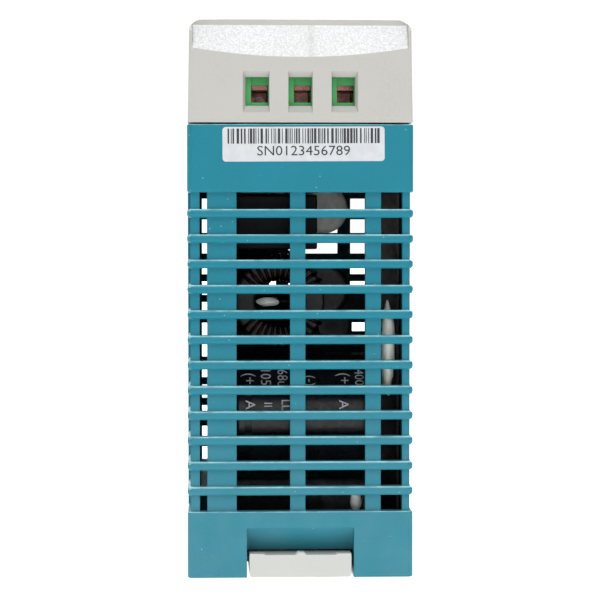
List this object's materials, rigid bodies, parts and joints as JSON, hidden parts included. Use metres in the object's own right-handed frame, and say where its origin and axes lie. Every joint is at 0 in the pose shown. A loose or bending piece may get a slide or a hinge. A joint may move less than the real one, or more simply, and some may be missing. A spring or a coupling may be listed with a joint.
{
  "type": "din rail power supply",
  "caption": "Slim plastic-cased power supply that clips on a 35 mm rail, with grilled ends, clamp terminals behind funnelled wire entries and a sprung sliding rail latch.",
  "frame": {"origin": "centre of the bounding box at the rear (rail side) face", "axes": "+X across the width, -Y towards the AC input end, +Y towards the DC output end, +Z from the rail to the front face"},
  "size_m": [0.04, 0.0899, 0.1],
  "materials": {
    "housing_plastic": "fine moulded texture, teal",
    "cover_plastic": "fine spark-eroded texture, warm grey",
    "latch_plastic": "satin, warm grey",
    "label_paper": "coated white sticker",
    "spring_steel": "drawn wire",
    "board_laminate": "solder-masked laminate",
    "terminal_green": "satin green",
    "contact_metal": "tinned copper alloy",
    "cage_metal": "plated steel",
    "screw_steel": "zinc plated",
    "capacitor_sleeve": "shrunk black sleeve",
    "film_box": "potted box",
    "thermistor_coating": "matt grey coating",
    "disc_coating": "dipped blue coating",
    "fuse_case": "moulded",
    "ferrite": "sintered dark grey",
    "enamelled_wire": "enamelled copper",
    "heatsink_aluminium": "black anodised",
    "blackened_steel": "black oxide",
    "varistor_coating": "dark dipped coating",
    "package_epoxy": "moulded epoxy",
    "bobbin_plastic": "glass-filled",
    "transformer_tape": "polyester tape",
    "fibre_sheet": "dark fibre sheet",
    "silicone": "white silicone",
    "led_lens": "diffused green",
    "clear_plastic": "clear moulded",
    "trimmer_plastic": "moulded",
    "header_plastic": "glass-filled"
  },
  "bodies": {
    "housing": {"rear_housing": "housing_plastic", "front_cover": "cover_plastic", "serial_label": "label_paper", "rating_label": "label_paper", "latch_spring": "spring_steel", "main_board": "board_laminate", "terminal_board": "board_laminate", "board_header": "header_plastic", "input_terminal_body": "terminal_green", "output_terminal_body": "terminal_green", "input_contact_bars": "contact_metal", "output_contact_bars": "contact_metal", "status_led": "led_lens", "led_light_pipe": "clear_plastic", "trimmer_body": "trimmer_plastic", "bulk_capacitor": "capacitor_sleeve", "film_capacitor": "film_box", "inrush_thermistor": "thermistor_coating", "varistor": "varistor_coating", "fuse": "fuse_case", "choke_core": "ferrite", "choke_windings": "enamelled_wire", "bridge_rectifier": "package_epoxy", "primary_heatsink": "heatsink_aluminium", "switching_transistor": "package_epoxy", "transformer_core": "ferrite", "transformer_bobbin": "bobbin_plastic", "transformer_winding": "transformer_tape", "control_ic": "package_epoxy", "optocouplers": "package_epoxy", "y_capacitors": "disc_coating", "aux_capacitor": "capacitor_sleeve", "surface_mount_parts": "package_epoxy", "output_rectifier": "package_epoxy", "secondary_heatsink": "heatsink_aluminium", "heatsink_screws": "blackened_steel", "output_capacitors": "capacitor_sleeve", "output_inductor_core": "ferrite", "output_inductor_winding": "enamelled_wire", "insulation_sheet": "fibre_sheet", "staking_adhesive": "silicone"},
    "latch": {"din_latch": "latch_plastic"},
    "trimmer": {"trimmer_shaft": "screw_steel"},
    "input_cage_1": {"input_cage_1": "cage_metal"},
    "input_screw_1": {"input_screw_1": "screw_steel"},
    "input_cage_2": {"input_cage_2": "cage_metal"},
    "input_screw_2": {"input_screw_2": "screw_steel"},
    "input_cage_3": {"input_cage_3": "cage_metal"},
    "input_screw_3": {"input_screw_3": "screw_steel"},
    "output_cage_1": {"output_cage_1": "cage_metal"},
    "output_screw_1": {"output_screw_1": "screw_steel"},
    "output_cage_2": {"output_cage_2": "cage_metal"},
    "output_screw_2": {"output_screw_2": "screw_steel"},
    "output_cage_3": {"output_cage_3": "cage_metal"},
    "output_screw_3": {"output_screw_3": "screw_steel"},
    "output_cage_4": {"output_cage_4": "cage_metal"},
    "output_screw_4": {"output_screw_4": "screw_steel"}
  },
  "joints": [
    {"name": "latch_slide", "type": "slide", "parent": "housing", "child": "latch", "axis": [0, -1, 0], "range_m": [0, 0.0045], "stiffness_N_per_m": 1500, "springref_m": -0.002, "deforming": ["latch_spring"]},
    {"name": "trimmer_turn", "type": "hinge", "parent": "housing", "child": "trimmer", "pos_m": [0.01, 0.02, 0.088], "axis": [0, 0, 1], "range_deg": [-130, 130]},
    {"name": "input_screw_turn_1", "type": "hinge", "parent": "housing", "child": "input_screw_1", "pos_m": [-0.00717, -0.0372, 0.093], "axis": [0, 0, -1], "range_deg": [-1370, 650]},
    {"name": "input_cage_rise_1", "type": "slide", "parent": "housing", "child": "input_cage_1", "axis": [0, 0, 1], "range_m": [-0.0019, 0.0009]},
    {"name": "input_screw_turn_2", "type": "hinge", "parent": "housing", "child": "input_screw_2", "pos_m": [0.00045, -0.0372, 0.093], "axis": [0, 0, -1], "range_deg": [-1370, 650]},
    {"name": "input_cage_rise_2", "type": "slide", "parent": "housing", "child": "input_cage_2", "axis": [0, 0, 1], "range_m": [-0.0019, 0.0009]},
    {"name": "input_screw_turn_3", "type": "hinge", "parent": "housing", "child": "input_screw_3", "pos_m": [0.00807, -0.0372, 0.093], "axis": [0, 0, -1], "range_deg": [-1370, 650]},
    {"name": "input_cage_rise_3", "type": "slide", "parent": "housing", "child": "input_cage_3", "axis": [0, 0, 1], "range_m": [-0.0019, 0.0009]},
    {"name": "output_screw_turn_1", "type": "hinge", "parent": "housing", "child": "output_screw_1", "pos_m": [-0.01098, 0.0372, 0.093], "axis": [0, 0, -1], "range_deg": [-1370, 650]},
    {"name": "output_cage_rise_1", "type": "slide", "parent": "housing", "child": "output_cage_1", "axis": [0, 0, 1], "range_m": [-0.0019, 0.0009]},
    {"name": "output_screw_turn_2", "type": "hinge", "parent": "housing", "child": "output_screw_2", "pos_m": [-0.00336, 0.0372, 0.093], "axis": [0, 0, -1], "range_deg": [-1370, 650]},
    {"name": "output_cage_rise_2", "type": "slide", "parent": "housing", "child": "output_cage_2", "axis": [0, 0, 1], "range_m": [-0.0019, 0.0009]},
    {"name": "output_screw_turn_3", "type": "hinge", "parent": "housing", "child": "output_screw_3", "pos_m": [0.00426, 0.0372, 0.093], "axis": [0, 0, -1], "range_deg": [-1370, 650]},
    {"name": "output_cage_rise_3", "type": "slide", "parent": "housing", "child": "output_cage_3", "axis": [0, 0, 1], "range_m": [-0.0019, 0.0009]},
    {"name": "output_screw_turn_4", "type": "hinge", "parent": "housing", "child": "output_screw_4", "pos_m": [0.01188, 0.0372, 0.093], "axis": [0, 0, -1], "range_deg": [-1370, 650]},
    {"name": "output_cage_rise_4", "type": "slide", "parent": "housing", "child": "output_cage_4", "axis": [0, 0, 1], "range_m": [-0.0019, 0.0009]}
  ],
  "couplings": [
    {"joint": "input_screw_turn_1", "follows": "input_cage_rise_1", "rad_per_m": 12566},
    {"joint": "input_screw_turn_2", "follows": "input_cage_rise_2", "rad_per_m": 12566},
    {"joint": "input_screw_turn_3", "follows": "input_cage_rise_3", "rad_per_m": 12566},
    {"joint": "output_screw_turn_1", "follows": "output_cage_rise_1", "rad_per_m": 12566},
    {"joint": "output_screw_turn_2", "follows": "output_cage_rise_2", "rad_per_m": 12566},
    {"joint": "output_screw_turn_3", "follows": "output_cage_rise_3", "rad_per_m": 12566},
    {"joint": "output_screw_turn_4", "follows": "output_cage_rise_4", "rad_per_m": 12566}
  ]
}
